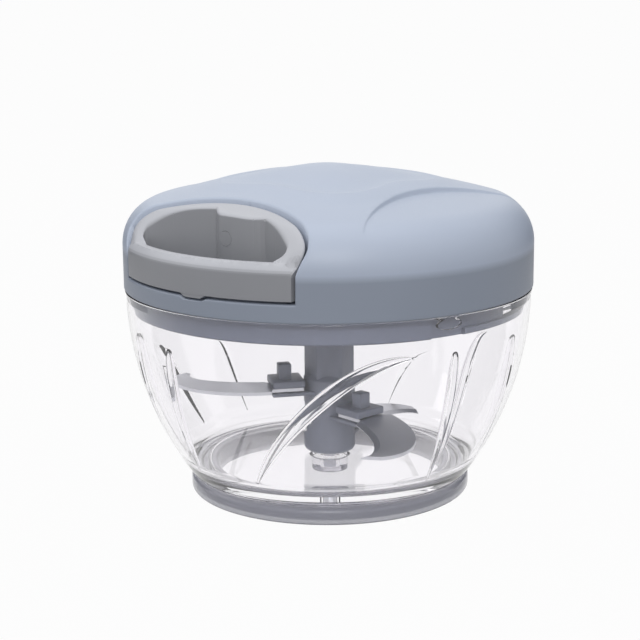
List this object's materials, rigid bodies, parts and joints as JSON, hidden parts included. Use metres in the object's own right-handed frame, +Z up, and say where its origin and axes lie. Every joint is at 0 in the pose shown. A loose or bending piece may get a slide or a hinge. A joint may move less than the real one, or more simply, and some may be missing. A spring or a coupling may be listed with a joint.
{
  "type": "pull-cord food chopper",
  "caption": "Hand food chopper: a clear bowl on a soft foot ring under a domed lid, whose finger-loop handle pulls a sprung cord that spins the bladed rotor.",
  "frame": {"origin": "centre of the underside of the foot ring, on the surface that the chopper stands on", "axes": "+Z up along the axis of the rotor and lid; -Y towards the pull handle; +X to the right of a person who faces the handle"},
  "size_m": [0.125, 0.125, 0.1],
  "materials": {
    "bowl_clear": "clear, polished",
    "soft_clear": "translucent, satin",
    "lid_blue": "fine satin",
    "skirt_blue": "fine satin",
    "handle_grey": "fine satin",
    "rotor_grey": "satin",
    "inner_white": "as moulded",
    "blade_steel": "finely brushed",
    "steel": "bright",
    "spring_steel": "oiled",
    "cord": "braided, dull"
  },
  "bodies": {
    "bowl": {"bowl": "bowl_clear", "foot_ring": "soft_clear", "pivot_pin": "steel"},
    "rotor": {"blade_shaft": "rotor_grey", "blade_1": "blade_steel", "blade_2": "blade_steel", "blade_3": "blade_steel", "blade_clip_1": "rotor_grey", "blade_clip_2": "rotor_grey", "blade_clip_3": "rotor_grey"},
    "seal": {"seal_ring": "soft_clear"},
    "lid": {"lid_shell": "lid_blue", "lid_base": "skirt_blue", "cord_eyelet": "steel", "spool_axle": "steel", "axle_screw": "steel", "axle_washer": "steel", "lid_screw_1": "steel", "lid_screw_2": "steel", "lid_screw_3": "steel", "pull_cord": "cord"},
    "driver": {"drive_hub": "inner_white", "pawl_1": "rotor_grey", "pawl_2": "rotor_grey"},
    "spool": {"spool": "inner_white", "cord_winding": "cord", "recoil_spring": "spring_steel", "spring_cover": "inner_white"},
    "handle": {"pull_handle": "handle_grey", "cord_knot": "cord", "cord_plug": "handle_grey"}
  },
  "joints": [
    {"name": "lid_lift", "type": "slide", "parent": "bowl", "child": "seal", "axis": [0, 0, 1], "range_m": [0, 0.1]},
    {"name": "lid_twist", "type": "hinge", "parent": "seal", "child": "lid", "pos_m": [0, 0, 0.0657], "axis": [0, 0, 1], "range_deg": [-31, 0]},
    {"name": "handle_pull", "type": "slide", "parent": "lid", "child": "handle", "axis": [0, -1, 0], "range_m": [0, 0.3], "stiffness_N_per_m": 27, "springref_m": -0.07, "deforming": ["pull_cord"]},
    {"name": "spool_spin", "type": "hinge", "parent": "lid", "child": "spool", "pos_m": [0, 0, 0.08], "axis": [0, 0, 1], "range_deg": [-960, 0]},
    {"name": "driver_spin", "type": "hinge", "parent": "lid", "child": "driver", "pos_m": [0, 0, 0.069], "axis": [0, 0, 1], "range_deg": [-960, 0]},
    {"name": "rotor_spin", "type": "hinge", "parent": "bowl", "child": "rotor", "pos_m": [0, 0, 0.0112], "axis": [0, 0, 1], "range_deg": [-960, 0]}
  ],
  "couplings": [
    {"joint": "spool_spin", "follows": "handle_pull", "rad_per_m": -55.556},
    {"joint": "driver_spin", "follows": "handle_pull", "rad_per_m": -55.556},
    {"joint": "rotor_spin", "follows": "handle_pull", "rad_per_m": -55.556}
  ]
}
